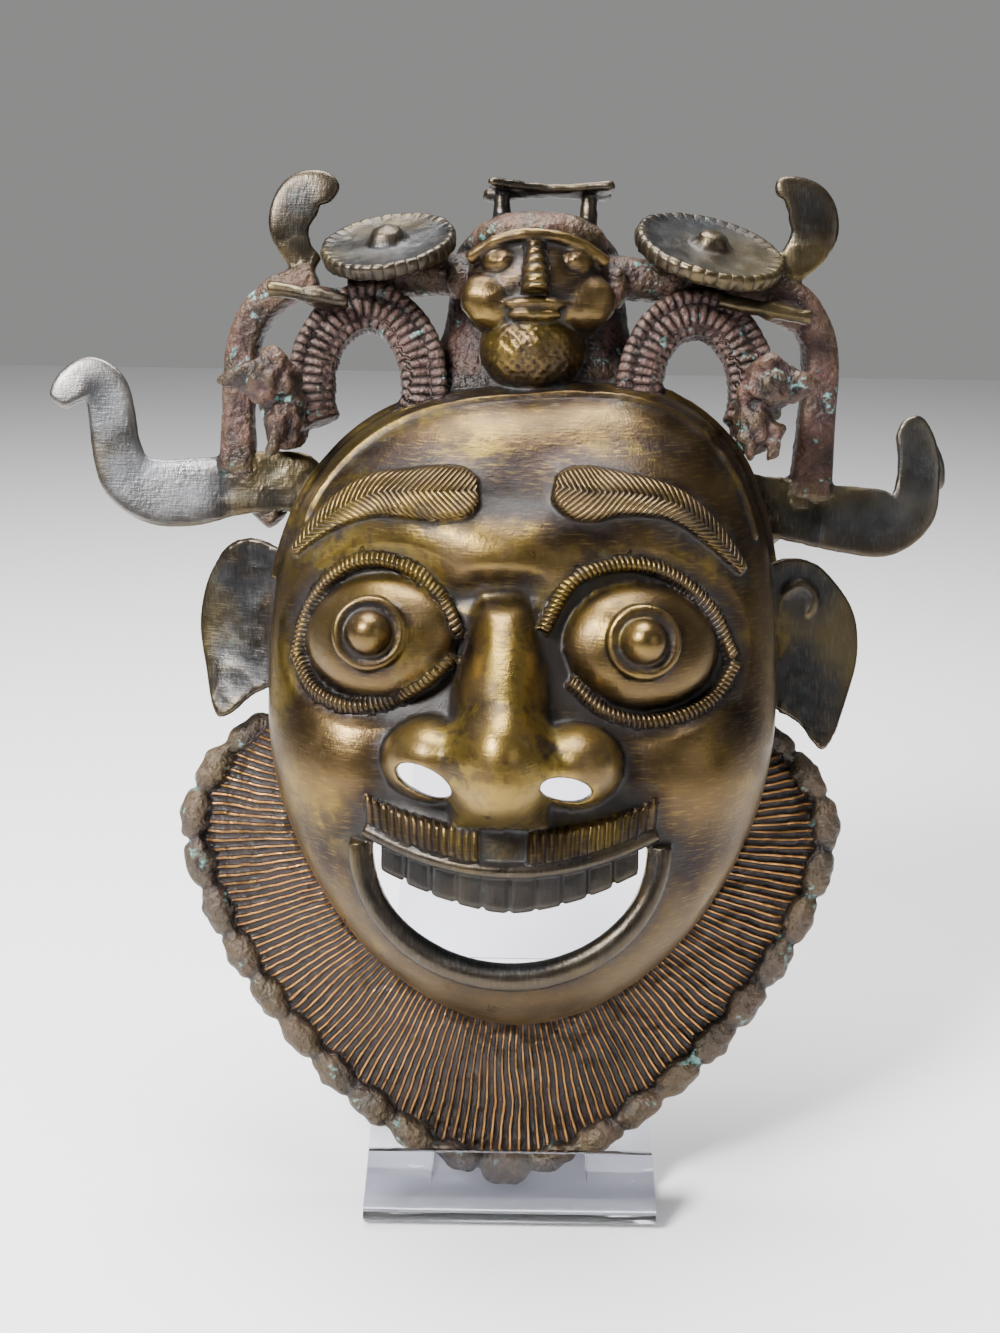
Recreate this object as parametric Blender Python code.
"""A cast bronze face mask with a ridged ruff beard and a crown, leaning on a clear acrylic easel.

The mask is modelled in its own flat frame, in millimetres: a to the right, b up along its
length, c out of the face. It is then leaned back and set down on the easel's ledge.
"""

import math

import bmesh
import bpy
import numpy as np
from mathutils import Matrix, Vector

for old in list(bpy.data.objects):
    bpy.data.objects.remove(old)

# Driving sizes of the mask, in millimetres
MASK_LENGTH = 427.0
WALL = 4.0
PLATE = 4.2
RUFF_PLATE = 4.5
RIDGE_HEIGHT = 2.2
RIDGE_COUNT = 84
CAST_DETAIL = 1.25
CAST_TRIANGLES = 9500
BEAD_COUNT = 25
BEAD_DEPTH = 13.0
TOOTH_COUNT = 10
FACE_ROW_COUNT = 44
FACE_COLUMNS = 132

# Driving sizes of the easel, in millimetres
LEAN_DEGREES = 19.0
STAND_WIDTH = 123.0
SHEET = 5.0
LIP_HEIGHT = 32.0
LIP_LEAN_DEGREES = 17.0
LIP_TAPER = 2.7
CHANNEL_DEPTH = 27.7
PANEL_LENGTH = 212.0
PANEL_TAPER_DEGREES = 5.5
PANEL_CORNER_RADIUS = 26.0
WINDOW_WIDTH = 67.0
WINDOW_HEIGHT = 96.0
FOOT_CLEARANCE = 1.0
BEND_RADIUS = 6.0
GAP = 0.3
MM = 0.001

# The free form is drawn at the length of 427 mm and keeps its proportions
SCALE = MASK_LENGTH / 427.0
FACE_A, FACE_B = 2.0, 205.0
FACE_HALF_WIDTH = 107.0
FACE_HALF_HEIGHT = 135.0
CROWN_POWER, JAW_POWER = 2.9, 1.85
FOREHEAD_SKEW = 0.08
SIDE_DEPTH = 36.0
DOME_RISE = 46.0
DOME_EDGE = 0.985
HOLLOW_REACH = 0.85
RUFF_A, RUFF_B = -2.0, 150.0
RUFF_HALF_WIDTH = 136.0
RUFF_DROP = 146.0
RUFF_RISE = 72.0
RUFF_POWER = 1.5
RUFF_TURN_DEGREES = 113.0
RUFF_INNER_DEPTH = 17.0
RUFF_OUTER_DEPTH = 4.5
MOUTH_A, MOUTH_B = -2.5, 147.0
MOUTH_HALF_WIDTH = 54.0
MOUTH_DROP = 47.0
LIP_RADIUS = 5.6
UPPER_LIP_RADIUS = 3.4
TOOTH_LENGTH = 18.0
TOOTH_GAP = 0.9
MOUSTACHE_RIDGES = 12
MOUSTACHE_HEIGHT = 13.0
BROW_RISE = 4.2
LID_RADIUS = 2.9
EYEBALL_RISE = 21.0
SOCKET_DROP = 12.0
IRIS_RADIUS = 15.0
PUPIL_RADIUS = 8.6
NOSE_TIP = (-7.0, 181.0)
NOSE_TIP_REACH = (25.0, 25.0)
NOSE_TIP_RISE = 39.0
NOSE_BRIDGE_RISE = 33.0
NOSE_ROOT_B = 262.0
LEFT_WING, RIGHT_WING = (-34.0, 182.0), (22.0, 180.5)
WING_REACH = (19.0, 16.5)
WING_RISE = 28.0
LEFT_NOSTRIL, RIGHT_NOSTRIL = (-35.5, 174.0), (18.0, 171.5)
LEFT_EYE, RIGHT_EYE = (-58.0, 230.0), (47.5, 228.0)
LEFT_BALL, RIGHT_BALL = (-55.0, 229.5), (48.5, 227.5)
BALL_REACH = (31.0, 24.5)
DISC_PITCH_DEGREES = 51.0
LEFT_DISC, RIGHT_DISC = (-56.5, 394.0, 44.0), (77.0, 394.0, 44.0)
LEFT_DISC_RADIUS, RIGHT_DISC_RADIUS = 28.5, 32.0
DISC_NECK_RADIUS = 6.0
DISC_ROLL_DEGREES = (-8.0, 11.0)
POST_THICKNESS = 14.0

# Lines of the free form: a, b and, where they are given, c and half the width
LEFT_UPPER_LID = ((-90, 222), (-85, 241), (-74, 254.5), (-60, 260), (-43, 256), (-30, 244), (-23, 228))
LEFT_LOWER_LID = ((-89, 222), (-82, 209.5), (-69, 202.5), (-54, 203), (-37, 211), (-25, 222))
RIGHT_UPPER_LID = ((9, 232), (19, 250), (32, 257.5), (48, 259), (63, 254), (77, 242), (86, 224))
RIGHT_LOWER_LID = ((20, 213), (33, 202), (49, 198), (65, 201), (78, 208.5), (87, 222))
LEFT_BROW = (
    (-17, 287, 6), (-22, 286.5, 10.5), (-32, 286, 11.8), (-45, 286, 10.5),
    (-57, 286, 9.5), (-70, 281.5, 7.5), (-82, 274, 5), (-93, 264.5, 2.5),
)
RIGHT_BROW = (
    (13, 289, 5.5), (18, 288, 10), (27, 286.5, 11.5), (40, 286.5, 9),
    (55.8, 284.5, 7.4), (68, 279, 6.2), (80, 269.5, 4.8), (90, 259, 2.5),
)
LEFT_EAR = (
    (-98, 268), (-112, 273), (-124, 270), (-133, 257), (-136.5, 239),
    (-134, 221), (-127, 197), (-112, 206), (-98, 214),
)
RIGHT_EAR = (
    (98, 262), (112, 268), (128, 266), (143, 250), (147, 234),
    (144, 216), (131, 187), (118, 199), (98, 210),
)
EAR_CURL = ((110, 246, 21), (113, 254, 20.5), (121, 257, 19.5), (126, 251, 18.5), (123, 244, 18.5))
LEFT_TRUNK = (
    (-87, 297, 22, 15), (-98, 298, 22, 13), (-120, 296, 22, 13), (-140, 292.5, 22, 14.5),
    (-155, 292.5, 22, 14), (-167, 299, 22, 12), (-172, 311, 23, 10.5), (-174, 325, 24, 10),
    (-177, 336, 25, 9.5), (-184, 340.5, 26, 8.5), (-192, 335, 26, 7.5), (-197, 328, 26, 4.5),
)
RIGHT_TRUNK = (
    (87, 291, 22, 15), (98, 291, 22, 13), (124, 287, 22, 13.5), (140, 285, 22, 14.5),
    (155, 284, 22, 14.5), (166, 289, 22, 11), (169, 300, 23, 9.5), (169, 312, 24, 9),
    (166, 323, 25, 7.5), (163, 328, 26, 4),
)
RIGHT_TRUNK_TIP = ((166, 322, 23, 5), (172, 317, 19, 6), (177, 309, 14, 6), (180, 299, 10, 4))
LEFT_HOOK = (
    (-88, 384, 36, 6), (-96, 394, 38, 7), (-98, 404, 40, 9), (-93, 414, 41, 10),
    (-85, 417, 42, 8), (-79.5, 413, 42, 5),
)
RIGHT_HOOK = (
    (104, 383, 36, 6), (115, 392, 38, 8), (121, 403, 40, 10), (118, 414, 41, 10),
    (110, 420, 42, 6), (104, 419, 42, 3.5),
)
LEFT_POST = (
    (-86, 382, 34, 6), (-103, 376, 32, 7), (-114, 365, 28, 7), (-119, 350, 24, 7),
    (-120.5, 328, 20, 7), (-121, 300, 18, 8),
)
RIGHT_POST = (
    (96, 382, 34, 7), (113, 376, 32, 7.5), (123, 365, 28, 7.5), (127, 350, 24, 7.5),
    (126, 328, 20, 8), (124, 292, 18, 9),
)
LEFT_POST_FOOT = ((-121, 304, 14, 9), (-112, 296, 14, 10), (-99, 286, 16, 12))
RIGHT_POST_FOOT = ((125, 300, 14, 9), (114, 292, 14, 10), (99, 282, 16, 12))
LEFT_BAR = ((-105, 373, 50), (-88, 370.5, 50), (-72, 368, 50))
RIGHT_BAR = ((80, 371, 50), (99, 367.5, 50), (118, 364, 50))
CROWN_BODY = (
    (322, 62, 5, 34), (340, 50, 5, 36), (356, 42, 6, 36), (372, 38, 6, 37),
    (388, 37, 6, 37), (400, 33, 6, 36), (409, 22, 6, 32),
)
SMALL_BROW = ((-23, 386, 52), (-11, 392, 58), (4, 394, 60), (20, 392, 58), (34, 385, 52))
SMALL_NOSE = ((4.5, 391, 58), (4.5, 380, 62), (4.5, 370, 63))
FINIAL_BAR = (
    (-18, 419, 30, 2.3), (-4, 419.5, 33, 2), (10, 420, 36, 2), (24, 420, 38, 2), (38, 420.5, 40, 2.2),
)
FINIAL_CROSS_BAR = (
    (-16, 421, 42, 2), (-3, 420.5, 39, 2), (10, 420, 36, 2), (24, 420, 33, 2), (37, 419.5, 31, 2),
)


def material(name, colour, roughness, metallic, alpha=1.0):
    made = bpy.data.materials.new(name)
    made.use_nodes = True
    shader = made.node_tree.nodes["Principled BSDF"]
    shader.inputs["Base Color"].default_value = (*colour, 1.0)
    shader.inputs["Roughness"].default_value = roughness
    shader.inputs["Metallic"].default_value = metallic
    shader.inputs["Alpha"].default_value = alpha
    return made


def solid(name, points, faces):
    """A closed mesh object from points (a, b, c) in the mask's frame."""
    mesh = bpy.data.meshes.new(name)
    size = SCALE * MM
    mesh.from_pydata([(a * size, -c * size, b * size) for a, b, c in points], [], faces)
    shape = bmesh.new()
    shape.from_mesh(mesh)
    bmesh.ops.recalc_face_normals(shape, faces=shape.faces)
    shape.to_mesh(mesh)
    shape.free()
    made = bpy.data.objects.new(name, mesh)
    bpy.context.scene.collection.objects.link(made)
    return made


def smooth_step(x):
    x = min(max(x, 0.0), 1.0)
    return x * x * (3 - 2 * x)


def bump(a, b, centre, reach, power=2.0):
    """A soft round hill, 1 at its centre and 0 at its reach."""
    x = (a - centre[0]) / reach[0]
    y = (b - centre[1]) / reach[1]
    far = x * x + y * y
    return (1 - far) ** power if far < 1 else 0.0


def outline_share(a, b):
    """How far out a point of the face is, 1 on its outline."""
    b = b - FOREHEAD_SKEW * a * min(max((b - FACE_B) / 100, 0), 1)
    x = abs(a - FACE_A) / FACE_HALF_WIDTH
    y = abs(b - FACE_B) / FACE_HALF_HEIGHT
    power = CROWN_POWER if b > FACE_B else JAW_POWER
    return (x**power + y**power) ** (1 / power)


def mound(a, b, centre, reach):
    """A round-topped swelling with a steep edge, 1 at its centre."""
    x = (a - centre[0]) / reach[0]
    y = (b - centre[1]) / reach[1]
    return max(0.0, 1 - x * x - y * y) ** 0.5


def nose_height(a, b):
    """A narrow bridge that swells into a round tip with a wing on each side."""
    along = smooth_step((NOSE_ROOT_B - b) / 75)
    below_tip = max(0.0, NOSE_TIP[1] - b) / NOSE_TIP_REACH[1]
    half = 10 + 9 * smooth_step((250 - b) / 45)
    across = max(0.0, 1 - abs((a - NOSE_TIP[0]) / half) ** 2.2) ** 0.8
    bridge = NOSE_BRIDGE_RISE * along * across * max(0.0, 1 - below_tip**2) ** 0.5
    tip = NOSE_TIP_RISE * mound(a, b, NOSE_TIP, NOSE_TIP_REACH)
    left_wing = WING_RISE * mound(a, b, LEFT_WING, WING_REACH)
    right_wing = WING_RISE * mound(a, b, RIGHT_WING, WING_REACH)
    return (bridge**5 + tip**5 + left_wing**5 + right_wing**5) ** 0.2


def features(a, b):
    """What the face's modelling adds to the dome: sockets, eyeballs, nose, cheeks, lips."""
    rise = 10 * bump(a, b, (-3, 128), (74, 50), 1.2)
    rise += 8 * bump(a, b, (-76, 178), (36, 34))
    rise += 8 * bump(a, b, (72, 176), (36, 34))
    rise += 6 * bump(a, b, (-45, 284), (52, 26))
    rise += 6 * bump(a, b, (43, 286), (52, 26))
    rise += 9 * bump(a, b, (-8, 264), (46, 22))
    rise -= 6 * bump(a, b, (-8, 247), (24, 11))
    left = bump(a, b, LEFT_BALL, (44, 37), 1.1)
    right = bump(a, b, RIGHT_BALL, (46, 38), 1.1)
    rise -= SOCKET_DROP * max(left, right)
    left = bump(a, b, LEFT_BALL, BALL_REACH, 0.55)
    right = bump(a, b, RIGHT_BALL, BALL_REACH, 0.55)
    rise += EYEBALL_RISE * max(left, right)
    return rise + nose_height(a, b)


def dome(share):
    inside = min(share / DOME_EDGE, 1.0)
    return SIDE_DEPTH + DOME_RISE * (1 - inside**2.4) ** 0.6


def face_depth(a, b):
    return dome(outline_share(a, b)) + features(a, b)


def inner_depth(a, b):
    """The hollow side of the wall, set back square to steep places too."""
    around = ((0, 0), (WALL, 0), (-WALL, 0), (0, WALL), (0, -WALL))
    return min(face_depth(a + x, b + y) for x, y in around)


def on_face(a, b, lift=0.0):
    return (a, b, face_depth(a, b) + lift)


def outline_point(angle, share):
    x, y = math.cos(angle), math.sin(angle)
    power = CROWN_POWER if y > 0 else JAW_POWER
    size = (abs(x / FACE_HALF_WIDTH) ** power + abs(y / FACE_HALF_HEIGHT) ** power) ** (-1 / power)
    a = FACE_A + share * size * x
    b = FACE_B + share * size * y
    return a, b + FOREHEAD_SKEW * a * min(max((b - FACE_B) / 100, 0), 1)


def face_shell():
    """The domed face: an outer and an inner skin that meet at the flat back rim."""
    points = []
    faces = []
    wall_rows = 3
    rows = FACE_ROW_COUNT + wall_rows

    def skin(inner):
        first = len(points)
        a, b = outline_point(0, 0)
        points.append((a, b, inner_depth(a, b) - WALL if inner else face_depth(a, b)))
        for row in range(1, rows + 1):
            share = DOME_EDGE * (row / FACE_ROW_COUNT) ** 0.85
            drop = 0.0
            if row > FACE_ROW_COUNT:
                drop = (row - FACE_ROW_COUNT) / wall_rows
                share = DOME_EDGE + (1 - DOME_EDGE) * drop
            for column in range(FACE_COLUMNS):
                angle = 2 * math.pi * column / FACE_COLUMNS
                a, b = outline_point(angle, share)
                c = face_depth(a, b) if drop == 0 else SIDE_DEPTH * (1 - drop)
                if inner and share < HOLLOW_REACH:
                    c = inner_depth(a, b)
                if inner:
                    inward = WALL * share**3
                    a -= inward * math.cos(angle)
                    b -= inward * math.sin(angle)
                    c -= WALL * (1 - share**6) + WALL * (drop == 0) * share**6
                    c = max(c, 0.0) if drop < 1 else 0.0
                points.append((a, b, c))
        for column in range(FACE_COLUMNS):
            after = (column + 1) % FACE_COLUMNS
            faces.append((first, first + 1 + column, first + 1 + after))
            for row in range(rows - 1):
                here = first + 1 + row * FACE_COLUMNS
                above = here + FACE_COLUMNS
                faces.append((here + column, above + column, above + after, here + after))
        return first + 1 + (rows - 1) * FACE_COLUMNS

    outer_rim = skin(False)
    inner_rim = skin(True)
    for column in range(FACE_COLUMNS):
        after = (column + 1) % FACE_COLUMNS
        faces.append((outer_rim + column, inner_rim + column, inner_rim + after, outer_rim + after))
    return solid("face", points, faces)


def through(knots, steps):
    """A smooth curve through a few knots, each a tuple of numbers."""
    knots = [np.array(knot, float) for knot in knots]
    knots = [2 * knots[0] - knots[1], *knots, 2 * knots[-1] - knots[-2]]
    found = []
    spans = len(knots) - 3
    for step in range(steps + 1):
        place = min(step * spans / steps, spans - 1e-9)
        at = int(place)
        t = place - at
        p0, p1, p2, p3 = knots[at : at + 4]
        curve = 2 * p1 + (p2 - p0) * t + (2 * p0 - 5 * p1 + 4 * p2 - p3) * t * t
        found.append((curve + (3 * p1 - p0 - 3 * p2 + p3) * t**3) / 2)
    return found


def loft(name, rings):
    """A closed body through rings of equally many points, capped at both ends."""
    sides = len(rings[0])
    points = [tuple(point) for ring in rings for point in ring]
    faces = []
    for row in range(len(rings) - 1):
        for side in range(sides):
            after = (side + 1) % sides
            here = row * sides
            faces.append((here + side, here + after, here + sides + after, here + sides + side))
    faces.append(tuple(range(sides)))
    faces.append(tuple(len(points) - sides + side for side in range(sides)))
    return solid(name, points, faces)


def directions(path):
    return [
        (path[min(i + 1, len(path) - 1)] - path[max(i - 1, 0)]) for i in range(len(path))
    ]


def tube(name, path, radii, sides=6, out=(0.0, 0.0, 1.0)):
    """A round rod along a path. The radii are one number for each point of the path."""
    path = [np.array(point, float) for point in path]
    rings = []
    for point, way, radius in zip(path, directions(path), radii):
        way = way / np.linalg.norm(way)
        side = np.cross(way, np.array(out))
        side = side / np.linalg.norm(side)
        up = np.cross(side, way)
        turns = [2 * math.pi * step / sides for step in range(sides)]
        rings.append([point + radius * (math.cos(t) * side + math.sin(t) * up) for t in turns])
    return loft(name, rings)


def ribbon(name, knots, steps, thickness=None):
    """A flat cast band along knots of a, b, c and half width, with rounded edges."""
    half = (thickness or PLATE) / 2
    section = ((1, 0.4), (0.85, 1), (-0.85, 1), (-1, 0.4), (-1, -0.4), (-0.85, -1), (0.85, -1), (1, -0.4))
    path = through(knots, steps)
    rings = []
    for point, way in zip(path, directions(path)):
        side = np.array((way[1], -way[0], 0.0))
        side = side / np.linalg.norm(side)
        flat = np.array((0.0, 0.0, 1.0))
        rings.append([point[:3] + point[3] * x * side + half * y * flat for x, y in section])
    return loft(name, rings)


def ball(name, centre, radii, segments=8, rings=5, turn_degrees=0.0):
    """An ellipsoid, turned in the plane of the mask."""
    turn = math.radians(turn_degrees)
    points = [(0, 0, radii[2])]
    for ring in range(1, rings):
        slope = math.pi * ring / rings
        for segment in range(segments):
            angle = 2 * math.pi * segment / segments
            x = radii[0] * math.sin(slope) * math.cos(angle)
            y = radii[1] * math.sin(slope) * math.sin(angle)
            points.append((x, y, radii[2] * math.cos(slope)))
    points.append((0, 0, -radii[2]))
    placed = []
    for x, y, z in points:
        a = centre[0] + x * math.cos(turn) - y * math.sin(turn)
        b = centre[1] + x * math.sin(turn) + y * math.cos(turn)
        placed.append((a, b, centre[2] + z))
    last = len(points) - 1
    faces = []
    for segment in range(segments):
        after = (segment + 1) % segments
        faces.append((0, 1 + segment, 1 + after))
        faces.append((last, last - segments + segment, last - segments + after))
        for ring in range(rings - 2):
            here = 1 + ring * segments
            faces.append((here + segment, here + after, here + segments + after, here + segments + segment))
    return solid(name, placed, faces)


def plate(name, outline, depth_at, thickness):
    """A flat casting with the given outline. depth_at gives the place of its middle."""
    count = len(outline)
    middle_a = sum(point[0] for point in outline) / count
    middle_b = sum(point[1] for point in outline) / count
    points = []
    for face_side in (1, -1):
        for share in (1.0, 0.6):
            for a, b in outline:
                x = middle_a + (a - middle_a) * share
                y = middle_b + (b - middle_b) * share
                points.append((x, y, depth_at(x, y) + face_side * thickness / 2))
        points.append((middle_a, middle_b, depth_at(middle_a, middle_b) + face_side * thickness / 2))
    faces = []
    layer = 2 * count + 1
    for side in range(count):
        after = (side + 1) % count
        for start in (0, layer):
            faces.append((start + side, start + after, start + count + after, start + count + side))
            faces.append((start + count + side, start + count + after, start + 2 * count))
        faces.append((side, after, layer + after, layer + side))
    return solid(name, points, faces)


def ruff_radius(turn):
    """From the ruff's middle to its edge, turn being measured from straight down."""
    x, y = abs(math.sin(turn)), abs(math.cos(turn))
    if abs(turn) <= math.pi / 2:
        total = (x / RUFF_HALF_WIDTH) ** RUFF_POWER + (y / RUFF_DROP) ** RUFF_POWER
        return total ** (-1 / RUFF_POWER)
    return ((x / RUFF_HALF_WIDTH) ** 2 + (y / RUFF_RISE) ** 2) ** -0.5


def ruff_point(turn, radius):
    return RUFF_A + radius * math.sin(turn), RUFF_B - radius * math.cos(turn)


def face_edge_radius(turn):
    """From the ruff's middle to just inside the face's side wall."""
    low, high = 20.0, 160.0
    for _ in range(30):
        middle = (low + high) / 2
        a, b = ruff_point(turn, middle)
        if outline_share(a, b) < 1:
            low = middle
        else:
            high = middle
    return low - WALL / 2


def ruff():
    """The beard: a flange all round the jaw, with ridges that fan out from the chin."""
    columns = 2 * RIDGE_COUNT
    limit = math.radians(RUFF_TURN_DEGREES)
    points = []
    for column in range(columns + 1):
        turn = limit * (2 * column / columns - 1)
        outer = ruff_radius(turn)
        inner = min(face_edge_radius(turn), outer - 2)
        lift = RIDGE_HEIGHT if column % 2 else 0.0
        spread = (
            (inner, 0.0, RUFF_INNER_DEPTH - RUFF_PLATE),
            (inner, RUFF_INNER_DEPTH, 0.0),
            (outer, RUFF_OUTER_DEPTH, 0.0),
            (outer, 0.0, RUFF_OUTER_DEPTH - RUFF_PLATE),
        )
        for order, (radius, front, back) in enumerate(spread):
            a, b = ruff_point(turn, radius)
            c = front + lift if order in (1, 2) else max(back, 0.0)
            points.append((a, b, c))
    faces = []
    for column in range(columns):
        here = 4 * column
        for corner in range(4):
            after = (corner + 1) % 4
            faces.append((here + corner, here + after, here + 4 + after, here + 4 + corner))
    faces.append((0, 1, 2, 3))
    last = 4 * columns
    faces.append((last, last + 1, last + 2, last + 3))
    return solid("ruff", points, faces)


def beads():
    """Lobed beads round the ruff's edge, spaced evenly along it."""
    limit = math.radians(RUFF_TURN_DEGREES + 1)
    steps = 400
    turns = [limit * (2 * step / steps - 1) for step in range(steps + 1)]
    line = [np.array(ruff_point(turn, ruff_radius(turn))) for turn in turns]
    run = [0.0]
    for before, after in zip(line, line[1:]):
        run.append(run[-1] + float(np.linalg.norm(after - before)))
    made = []
    for bead in range(BEAD_COUNT):
        want = run[-1] * (bead + 0.5) / BEAD_COUNT
        at = min(range(steps + 1), key=lambda step: abs(run[step] - want))
        way = line[min(at + 1, steps)] - line[max(at - 1, 0)]
        lean = math.degrees(math.atan2(way[1], way[0]))
        middle = (line[at][0], line[at][1], BEAD_DEPTH / 2)
        made.append(ball(f"bead_{bead}", middle, (11.6, 7.2, BEAD_DEPTH / 2), 8, 4, lean))
    return made


def mouth_curve(steps, half_width, drop, top):
    """The lower edge of the mouth, from corner to corner, as half an ellipse."""
    turns = [math.pi * step / steps for step in range(steps + 1)]
    return [
        (MOUTH_A - half_width * math.cos(turn), top - drop * math.sin(turn)) for turn in turns
    ]


def upper_edge(a):
    """The lower edge of the upper lip, which sags in the middle."""
    return 137 + 13 * ((a - MOUTH_A) / MOUTH_HALF_WIDTH) ** 2


def mouth_cutter():
    lower = mouth_curve(20, MOUTH_HALF_WIDTH, MOUTH_DROP, MOUTH_B)
    upper = [(a, upper_edge(a)) for a, _ in reversed(lower[1:-1:2])]
    outline = lower + upper
    count = len(outline)
    points = [(a, b, 25.0) for a, b in outline] + [(a, b, 135.0) for a, b in outline]
    faces = [(i, (i + 1) % count, count + (i + 1) % count, count + i) for i in range(count)]
    faces += [tuple(range(count)), tuple(range(count, 2 * count))]
    return solid("mouth_opening", points, faces)


def nostril_cutter(name, centre, half_length, half_height, slant_degrees):
    slant = math.radians(slant_degrees)
    rings = []
    for depth in (25.0, 135.0):
        ring = []
        for step in range(12):
            angle = 2 * math.pi * step / 12
            x, y = half_length * math.cos(angle), half_height * math.sin(angle)
            a = centre[0] + x * math.cos(slant) - y * math.sin(slant)
            ring.append((a, centre[1] + x * math.sin(slant) + y * math.cos(slant), depth))
        rings.append(ring)
    return loft(name, rings)


def lips():
    steps = 28
    lower = mouth_curve(steps, MOUTH_HALF_WIDTH + LIP_RADIUS, MOUTH_DROP + LIP_RADIUS, MOUTH_B + 2)
    path = [on_face(a, b, 0.5) for a, b in lower]
    swell = [LIP_RADIUS * (0.72 + 0.28 * math.sin(math.pi * i / steps)) for i in range(steps + 1)]
    made = [tube("lower_lip", path, swell, 8)]
    steps = 20
    across = [MOUTH_A + (MOUTH_HALF_WIDTH + 3) * (2 * i / steps - 1) for i in range(steps + 1)]
    path = [(a, upper_edge(a) + 2.5, face_depth(a, upper_edge(a) + 6)) for a in across]
    made.append(tube("upper_lip", path, [UPPER_LIP_RADIUS] * (steps + 1), 6))
    return made


def teeth():
    """A row of flat, square teeth hung behind the upper lip."""
    made = []
    reach = MOUTH_HALF_WIDTH - 3
    for tooth in range(TOOTH_COUNT):
        left = MOUTH_A - reach + 2 * reach * tooth / TOOTH_COUNT
        right = left + 2 * reach / TOOTH_COUNT - TOOTH_GAP
        middle = (left + right) / 2
        top = upper_edge(middle) + 5
        low = top - TOOTH_LENGTH + 4 * abs(middle - MOUTH_A) / reach
        depth = face_depth(middle, top + 2) - 6.5
        points = []
        for b in (top, low):
            for a in (left, right):
                for c in (depth - 2.6, depth + 2.6):
                    points.append((a, b, c))
        faces = [(0, 1, 3, 2), (4, 6, 7, 5), (0, 4, 5, 1), (2, 3, 7, 6), (0, 2, 6, 4), (1, 5, 7, 3)]
        made.append(solid(f"tooth_{tooth}", points, faces))
    return made


def moustache():
    """Two panels of upright ridges beside a plain patch under the nose."""
    made = []
    for side, first, last in (("left", -58.0, -15.0), ("right", 5.0, 53.0)):
        for ridge in range(MOUSTACHE_RIDGES):
            a = first + (last - first) * ridge / (MOUSTACHE_RIDGES - 1)
            foot = upper_edge(a) + 5.5
            head = foot + MOUSTACHE_HEIGHT - 2 * abs(a - MOUTH_A) / MOUTH_HALF_WIDTH
            path = [on_face(a, foot, 0.4), on_face(a, (foot + head) / 2, 1.2), on_face(a, head, 0.4)]
            made.append(tube(f"moustache_{side}_{ridge}", path, [1.5, 1.6, 1.4], 4))
    return made


def lid(name, knots, steps=18):
    path = [on_face(a, b, 1.2) for a, b in through(knots, steps)]
    return tube(name, path, [LID_RADIUS] * len(path), 6)


def eyes():
    """Lids of cord, and on each bulging eyeball a raised iris with a pupil like a boss."""
    made = [
        lid("left_upper_lid", LEFT_UPPER_LID),
        lid("left_lower_lid", LEFT_LOWER_LID),
        lid("right_upper_lid", RIGHT_UPPER_LID),
        lid("right_lower_lid", RIGHT_LOWER_LID),
    ]
    for side, (a, b) in (("left", LEFT_EYE), ("right", RIGHT_EYE)):
        depth = face_depth(a, b)
        made.append(ball(f"{side}_iris", (a, b, depth - 1.5), (IRIS_RADIUS, IRIS_RADIUS, 7.5), 16, 6))
        made.append(ball(f"{side}_pupil", (a, b, depth + 4), (PUPIL_RADIUS, PUPIL_RADIUS, 9), 12, 6))
    return made


def brow(name, knots):
    """A leaf of raised relief, thick at its inner end and drawn out to a tail."""
    path = through(knots, 16)
    section = ((-1, -2.5), (-0.97, 0.6 * BROW_RISE), (-0.6, BROW_RISE), (0, 0.85 * BROW_RISE))
    section += ((0.6, BROW_RISE), (0.97, 0.6 * BROW_RISE), (1, -2.5))
    found = []
    for (a, b, half), way in zip(path, directions(path)):
        way = way[:2] / np.linalg.norm(way[:2])
        ring = []
        for across, lift in section:
            ring.append(on_face(a - way[1] * half * across, b + way[0] * half * across, lift))
        found.append(ring)
    return loft(name, found)


def forehead_rim():
    made = []
    for name, share, radius, low, high in (("outer", 0.985, 2.9, 28, 152), ("inner", 0.925, 1.7, 34, 146)):
        path = []
        for step in range(31):
            angle = math.radians(high + (low - high) * step / 30)
            a, b = outline_point(angle, share)
            path.append((a, b, face_depth(a, b) + (0.0 if name == "inner" else -1.5)))
        made.append(tube(f"{name}_forehead_rim", path, [radius] * 31, 6))
    return made


def ears():
    """Leaf-shaped ears, standing out sideways from behind the temples."""
    left = through(LEFT_EAR, 16)
    right = through(RIGHT_EAR, 16)
    curl = through(EAR_CURL, 10)
    return [
        plate("left_ear", left, lambda a, b: 22 + 0.25 * (a + 98) + 5 * ((b - 235) / 38) ** 2, PLATE),
        plate("right_ear", right, lambda a, b: 22 - 0.25 * (a - 98) + 5 * ((b - 232) / 40) ** 2, PLATE),
        tube("right_ear_curl", curl, [2.4] * len(curl), 5),
    ]


def hooks():
    """Four trunk-like hooks of flat plate, and the folded tip of the right one."""
    return [
        ribbon("left_trunk", LEFT_TRUNK, 28),
        ribbon("right_trunk", RIGHT_TRUNK, 24),
        ribbon("right_trunk_tip", RIGHT_TRUNK_TIP, 6),
        ribbon("left_upper_hook", LEFT_HOOK, 13),
        ribbon("right_upper_hook", RIGHT_HOOK, 13),
    ]


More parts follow.
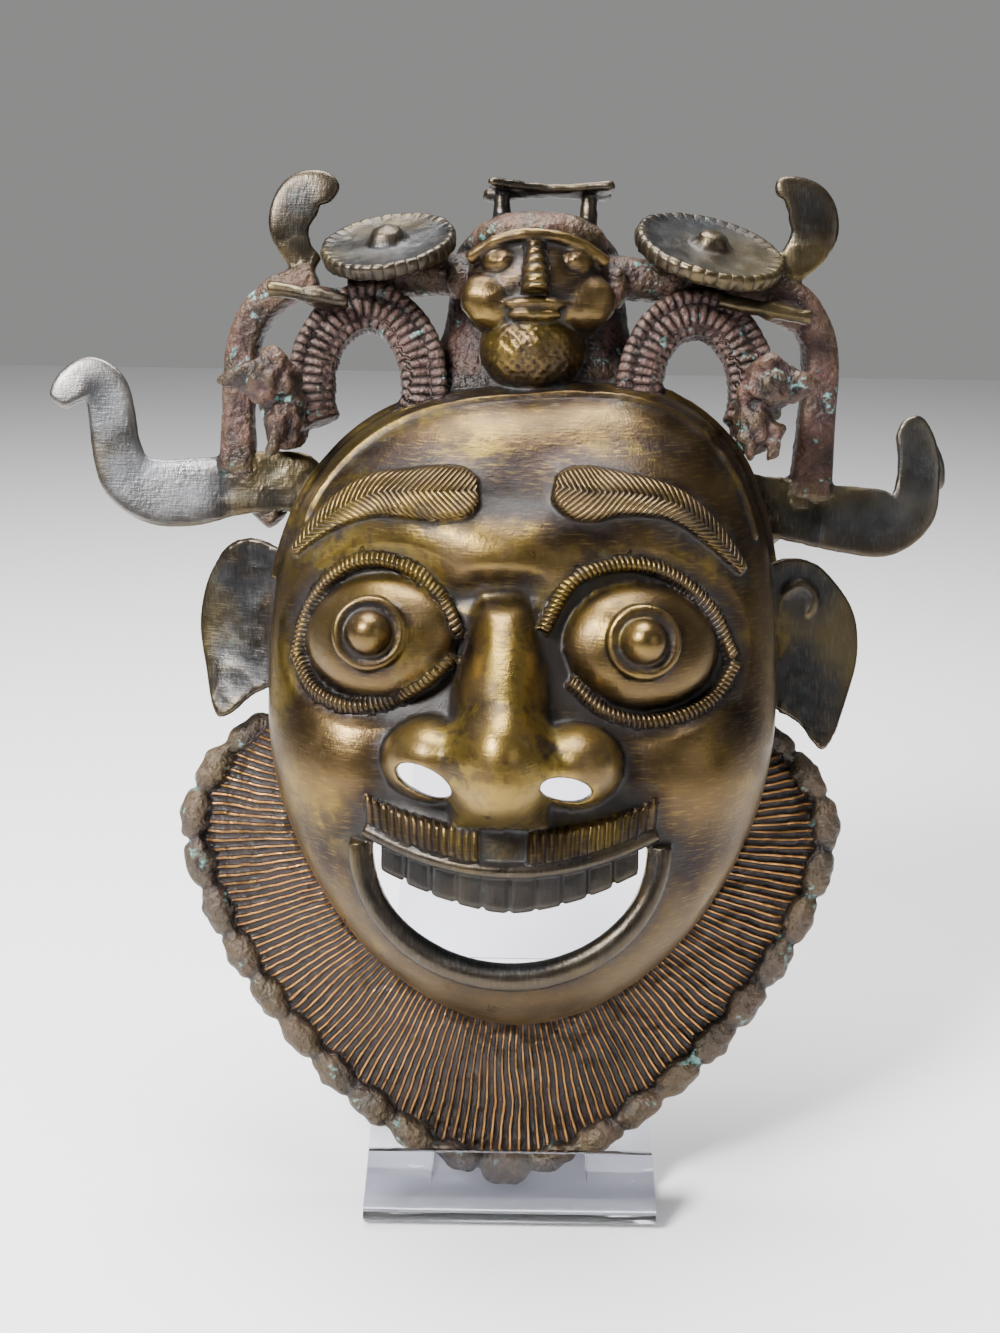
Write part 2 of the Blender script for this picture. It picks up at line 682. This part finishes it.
def disc(name, centre, radius, roll_degrees):
    """A dished disc with a boss. It faces up and forward, and slopes down outwards."""
    pitch = math.radians(DISC_PITCH_DEGREES)
    roll = math.radians(roll_degrees)
    profile = (
        (0, 7.5), (6.5, 6.0), (8, 1.2), (0.55 * radius, 1.0), (0.94 * radius, 2.6),
        (radius, 0.6), (0.97 * radius, -4.0), (0.5 * radius, -5.0), (0, -5.2),
    )
    sides = 22
    points = []
    for reach, height in profile:
        for side in range(sides if reach else 1):
            angle = 2 * math.pi * side / sides
            x, y = reach * math.cos(angle), reach * math.sin(angle)
            a = x * math.cos(roll) + height * math.sin(roll)
            up = -x * math.sin(roll) + height * math.cos(roll)
            b = centre[1] + y * math.cos(pitch) + up * math.sin(pitch)
            c = centre[2] - y * math.sin(pitch) + up * math.cos(pitch)
            points.append((centre[0] + a, b, c))
    faces = []
    rings = len(profile) - 2
    last = 1 + rings * sides
    for side in range(sides):
        after = (side + 1) % sides
        faces.append((0, 1 + side, 1 + after))
        faces.append((last, last - sides + side, last - sides + after))
        for ring in range(rings - 1):
            here = 1 + ring * sides
            faces.append((here + side, here + after, here + sides + after, here + sides + side))
    return solid(name, points, faces)


def arch(name, centre, half_width, height, foot):
    """A horseshoe of ribbed band round an open window, with a raised outer edge."""
    made = []
    for band, grow, rise, depth, radius in (("band", 9.5, 10, 34, 8.5), ("edge", 17.0, 18, 40, 3.4)):
        path = []
        for step in range(19):
            turn = math.pi * (-0.16 + 1.32 * step / 18)
            a = centre[0] + (half_width + grow) * math.cos(turn)
            b = centre[1] + (height + rise) * math.sin(turn)
            path.append((a, max(b, foot - 6), depth))
        made.append(tube(f"{name}_{band}", path, [radius] * 19, 7 if band == "band" else 5))
    return made


def animal_head(name, centre, side):
    """A small beaked head on a stub neck, with ragged bits of metal under it."""
    a, b, c = centre
    neck = (centre, (a - 2 * side, b - 6, c - 22), (a - 2 * side, b - 16, c - 36))
    return [
        ball(f"{name}_head", centre, (12, 9.5, 11), 10, 6, 12 * side),
        ball(f"{name}_beak", (a + 11 * side, b + 2, c + 4), (9.5, 4.5, 5.5), 8, 4, -18 * side),
        ball(f"{name}_brow", (a - 2 * side, b + 7, c + 5), (6, 5, 6), 6, 4, 40 * side),
        ball(f"{name}_throat", (a - 5 * side, b - 13, c - 3), (8, 12, 8), 8, 5, 10 * side),
        ball(f"{name}_left_scrap", (a - 9, b - 21, c), (3.5, 8, 4), 6, 4, 15),
        ball(f"{name}_right_scrap", (a + 2, b - 22, c + 1), (3.5, 8, 4), 6, 4, -12),
        tube(f"{name}_neck", neck, (9, 9, 10), 7),
    ]


def crown():
    """The open headdress, with its posts, bars, arches and discs, on a solid middle."""
    made = []
    made += arch("left_arch", (-64.5, 336), 13, 22, 318)
    made += arch("right_arch", (72.5, 336), 13, 21, 318)
    made.append(disc("left_disc", LEFT_DISC, LEFT_DISC_RADIUS, DISC_ROLL_DEGREES[0]))
    made.append(disc("right_disc", RIGHT_DISC, RIGHT_DISC_RADIUS, DISC_ROLL_DEGREES[1]))
    made.append(ribbon("left_post", LEFT_POST, 12, POST_THICKNESS))
    made.append(ribbon("right_post", RIGHT_POST, 12, POST_THICKNESS))
    made.append(ribbon("left_post_foot", LEFT_POST_FOOT, 8, POST_THICKNESS))
    made.append(ribbon("right_post_foot", RIGHT_POST_FOOT, 8, POST_THICKNESS))
    for name, knots in (("left_bar", LEFT_BAR), ("right_bar", RIGHT_BAR)):
        outer, middle, inner = knots
        made.append(tube(name, knots, (3, 3.2, 3), 6))
        root = (inner[0] * 0.9 + outer[0] * 0.1, inner[1] + 4, 34)
        made.append(tube(f"{name}_root", (middle, root), (4, 6), 6))
    made += animal_head("left_animal", (-101, 332, 62), -1)
    made += animal_head("right_animal", (99, 333, 62), 1)
    body = []
    for b, half, middle, deep in CROWN_BODY:
        ring = []
        for step in range(14):
            angle = 2 * math.pi * step / 14
            reach = deep / 2 + 2
            ring.append((middle + half * math.cos(angle), b, 22 + reach * math.sin(angle)))
        body.append(ring)
    made.append(loft("crown_body", body))
    for name, start, end, radius in (
        ("left_shoulder", (-20, 386, 30), (-74, 382, 30), 8.5),
        ("right_shoulder", (30, 386, 30), (98, 380, 30), 9.0),
    ):
        made.append(tube(name, (start, end), (radius, radius), 8))
    for name, centre in (("left_neck", LEFT_DISC), ("right_neck", RIGHT_DISC)):
        a, b, c = centre
        neck = ((a, b - 2 * DISC_NECK_RADIUS, c - 2.3 * DISC_NECK_RADIUS), (a, b - 2, c - 2))
        made.append(tube(name, neck, (DISC_NECK_RADIUS, DISC_NECK_RADIUS), 8))
    return made


def small_face():
    """The little bearded face in the middle of the crown."""
    made = [
        ball("crown_face", (6, 378, 36), (32, 28, 25), 14, 8),
        ball("crown_face_beard", (4, 352, 37), (22, 20, 21), 12, 7),
        ball("crown_face_left_cheek", (-12, 370, 50), (14, 12, 8.5), 8, 5),
        ball("crown_face_right_cheek", (24, 370, 50), (14, 12, 8.5), 8, 5),
        ball("crown_face_left_eye", (-9, 384, 55), (8, 6, 6), 8, 5),
        ball("crown_face_right_eye", (20, 384, 55), (8, 6, 6), 8, 5),
        ball("crown_face_mouth", (4.5, 364, 58), (13, 3.5, 4.5), 8, 5),
        ball("crown_face_left_ear", (-27, 380, 40), (5, 8, 6), 7, 4),
        ball("crown_face_right_ear", (38, 378, 40), (5, 9, 6), 7, 4),
        ball("crown_cap", (6, 398, 32), (30, 13, 22), 12, 6),
    ]
    brows = through(SMALL_BROW, 10)
    made.append(tube("crown_face_brow", brows, [2.6] * len(brows), 5))
    made.append(tube("crown_face_nose", SMALL_NOSE, (3, 4, 5.5), 6))
    return made


def finial():
    """Two short posts that carry two flat bars, laid across each other."""
    made = []
    for name, a in (("left", -9.5), ("right", 27.0)):
        post = ((a, 398, 32), (a, 408, 33), (a, 419, 34))
        made.append(tube(f"{name}_finial_post", post, (4.5, 3.2, 3), 6))
    made.append(ribbon("finial_bar", FINIAL_BAR, 8, 9))
    made.append(ribbon("finial_cross_bar", FINIAL_CROSS_BAR, 8, 8))
    return made


def gather(name, members):
    """A hidden collection of shapes for one Boolean."""
    holder = bpy.data.collections.new(name)
    bpy.context.scene.collection.children.link(holder)
    for member in members:
        bpy.context.scene.collection.objects.unlink(member)
        holder.objects.link(member)
        member.hide_render = True
        member.display_type = "WIRE"
    return holder


def boolean(target, operation, holder):
    step = target.modifiers.new(holder.name, "BOOLEAN")
    step.operation = operation
    step.operand_type = "COLLECTION"
    step.collection = holder
    step.solver = "EXACT"
    return step


def finished_mesh(target):
    """The target's mesh with its modifiers applied."""
    graph = bpy.context.evaluated_depsgraph_get()
    return bpy.data.meshes.new_from_object(target.evaluated_get(graph))


def keep_largest(mesh):
    """Drops the skins of pockets sealed inside the metal."""
    shape = bmesh.new()
    shape.from_mesh(mesh)
    waiting = set(shape.verts)
    islands = []
    while waiting:
        edge_of_island = [waiting.pop()]
        island = set(edge_of_island)
        while edge_of_island:
            for link in edge_of_island.pop().link_edges:
                for vertex in link.verts:
                    if vertex in waiting:
                        waiting.discard(vertex)
                        island.add(vertex)
                        edge_of_island.append(vertex)
        islands.append(island)
    islands.sort(key=len)
    spare = [vertex for island in islands[:-1] for vertex in island]
    bmesh.ops.delete(shape, geom=spare, context="VERTS")
    shape.to_mesh(mesh)
    shape.free()


def cast(name, shapes):
    """Fuses overlapping shapes into one skin, as wax parts are before they are cast."""
    fused = bmesh.new()
    for member in shapes:
        fused.from_mesh(finished_mesh(member) if member.modifiers else member.data)
    mesh = bpy.data.meshes.new(name)
    fused.to_mesh(mesh)
    fused.free()
    made = bpy.data.objects.new(name, mesh)
    bpy.context.scene.collection.objects.link(made)
    skin = made.modifiers.new("one_skin", "REMESH")
    skin.mode = "VOXEL"
    skin.voxel_size = CAST_DETAIL * MM
    bpy.context.view_layer.update()
    made.data = finished_mesh(made)
    made.modifiers.clear()
    keep_largest(made.data)
    triangles = sum(len(face.vertices) - 2 for face in made.data.polygons)
    thin = made.modifiers.new("fewer_faces", "DECIMATE")
    thin.ratio = min(1.0, CAST_TRIANGLES / triangles)
    made.data = finished_mesh(made)
    made.modifiers.clear()
    for member in shapes:
        bpy.data.objects.remove(member)
    return made


def build_mask():
    face = face_shell()
    openings = [
        mouth_cutter(),
        nostril_cutter("left_nostril", LEFT_NOSTRIL, 11.5, 5.2, -25),
        nostril_cutter("right_nostril", RIGHT_NOSTRIL, 10.0, 4.6, -8),
    ]
    boolean(face, "DIFFERENCE", gather("openings", openings))
    relief = [ruff(), *beads(), *lips(), *teeth(), *moustache(), *eyes(), *forehead_rim(), *ears()]
    relief += [brow("left_brow", LEFT_BROW), brow("right_brow", RIGHT_BROW)]
    relief += hooks() + crown() + small_face() + finial()
    mask = cast("mask", [face, *relief])
    for opening in openings:
        bpy.data.objects.remove(opening)
    mask.data.materials.clear()
    mask.data.materials.append(material("aged_bronze", (0.20, 0.145, 0.075), 0.42, 0.95))
    return mask


def bent_line(corners, radius, steps):
    """A line through corners (y, z), each inner corner rounded to the radius."""
    line = [np.array(corners[0], float)]
    for before, corner, after in zip(corners, corners[1:], corners[2:]):
        corner = np.array(corner, float)
        back = np.array(before) - corner
        on = np.array(after) - corner
        back = back / np.linalg.norm(back)
        on = on / np.linalg.norm(on)
        half = math.acos(float(np.clip(back @ on, -1, 1))) / 2
        middle = corner + (back + on) / np.linalg.norm(back + on) * radius / math.sin(half)
        first = corner + back * radius / math.tan(half) - middle
        last = corner + on * radius / math.tan(half) - middle
        whole = math.acos(float(np.clip(first @ last / radius**2, -1, 1)))
        for step in range(steps + 1):
            t = whole * step / steps
            line.append(middle + (first * math.sin(whole - t) + last * math.sin(t)) / math.sin(whole))
    line.append(np.array(corners[-1], float))
    return line


def build_stand():
    """One sheet, cut and then bent: lip, ledge, panel, and a foot left flat behind."""
    half = STAND_WIDTH / 2
    middle = SHEET / 2
    lean = math.radians(LEAN_DEGREES)
    lip_lean = math.radians(LIP_LEAN_DEGREES)
    along_panel = np.array((math.sin(lean), math.cos(lean)))
    lip_top = (LIP_HEIGHT * math.tan(lip_lean), LIP_HEIGHT)
    lip_foot = (middle * math.tan(lip_lean), middle)
    panel_front = middle / math.cos(lip_lean) + CHANNEL_DEPTH
    panel_foot = (panel_front + middle / math.cos(lean) - middle * math.tan(lean), middle)
    window_foot = panel_foot + along_panel * 2 * BEND_RADIUS
    bend_steps = 4
    rows = []
    for y, z in bent_line((lip_top, lip_foot, panel_foot, window_foot), BEND_RADIUS, bend_steps):
        narrow = LIP_TAPER * z / LIP_HEIGHT if y < panel_foot[0] / 2 else 0.0
        rows.append((y, z, half - narrow))
    ledge_end = bend_steps + 2
    corner_start = PANEL_LENGTH - PANEL_CORNER_RADIUS
    turns = [math.pi / 2 * step / 6 for step in range(1, 7)]
    heights = [WINDOW_HEIGHT, corner_start]
    heights += [corner_start + PANEL_CORNER_RADIUS * math.sin(turn) for turn in turns]
    taper = math.tan(math.radians(PANEL_TAPER_DEGREES))
    window_head = len(rows)
    for index, height in enumerate(heights):
        y, z = panel_foot + along_panel * height
        width = half - min(height, corner_start) * taper
        if index > 1:
            width -= PANEL_CORNER_RADIUS * (1 - math.cos(turns[index - 2]))
        rows.append((y, z, width))
    window = WINDOW_WIDTH / 2
    points = []
    for y, z, width in rows:
        inner = min(window, 0.8 * width)
        points += [(x, y, z) for x in (-width, -inner, inner, width)]
    faces = []
    for row in range(len(rows) - 1):
        for column in range(3):
            if column == 1 and ledge_end <= row < window_head:
                continue
            here = 4 * row + column
            faces.append((here, here + 1, here + 5, here + 4))
    before = (4 * ledge_end + 1, 4 * ledge_end + 2)
    foot_width = window - FOOT_CLEARANCE
    ledge_end_y = rows[ledge_end][0]
    for back in (2 * BEND_RADIUS, WINDOW_HEIGHT):
        here = (len(points), len(points) + 1)
        points += [(-foot_width, ledge_end_y + back, middle), (foot_width, ledge_end_y + back, middle)]
        faces.append((before[0], before[1], here[1], here[0]))
        before = here
    mesh = bpy.data.meshes.new("stand")
    mesh.from_pydata([(x * MM, y * MM, z * MM) for x, y, z in points], [], faces)
    stand = bpy.data.objects.new("stand", mesh)
    bpy.context.scene.collection.objects.link(stand)
    sheet = stand.modifiers.new("sheet", "SOLIDIFY")
    sheet.thickness = SHEET * MM
    sheet.offset = 0.0
    sheet.use_even_offset = True
    mesh.materials.append(material("clear_acrylic", (0.86, 0.87, 0.95), 0.04, 0.0, 0.25))
    return stand, panel_front


def world_points(target):
    found = target.evaluated_get(bpy.context.evaluated_depsgraph_get())
    return np.array([found.matrix_world @ point.co for point in found.data.vertices])


mask = build_mask()
stand, panel_front = build_stand()

# The mask leans against the panel and its lowest bead stands on the ledge
lean = math.radians(LEAN_DEGREES)
flat_back = float(world_points(mask)[:, 1].max())
mask.data.transform(Matrix.Rotation(-lean, 4, "X") @ Matrix.Translation(Vector((0, -flat_back, 0))))
bpy.context.view_layer.update()
lowest = float(world_points(mask)[:, 2].min())
rise = (SHEET + GAP) * MM - lowest
forward = (panel_front - GAP / math.cos(lean) - SHEET * math.tan(lean)) * MM + rise * math.tan(lean)
mask.data.transform(Matrix.Translation(Vector((0.0, forward, rise))))
bpy.context.view_layer.update()

# The origin is the middle of the whole object's footprint, on the surface it stands on
everything = np.vstack([world_points(mask), world_points(stand)])
low, high = everything.min(axis=0), everything.max(axis=0)
shift = Vector((-(low[0] + high[0]) / 2, -(low[1] + high[1]) / 2, -low[2]))
for shape in bpy.data.objects:
    shape.data.transform(Matrix.Translation(shift))
bpy.context.view_layer.update()
for shape in (mask, stand):
    shape.data.shade_smooth()
    shape.data.set_sharp_from_angle(angle=math.radians(35))
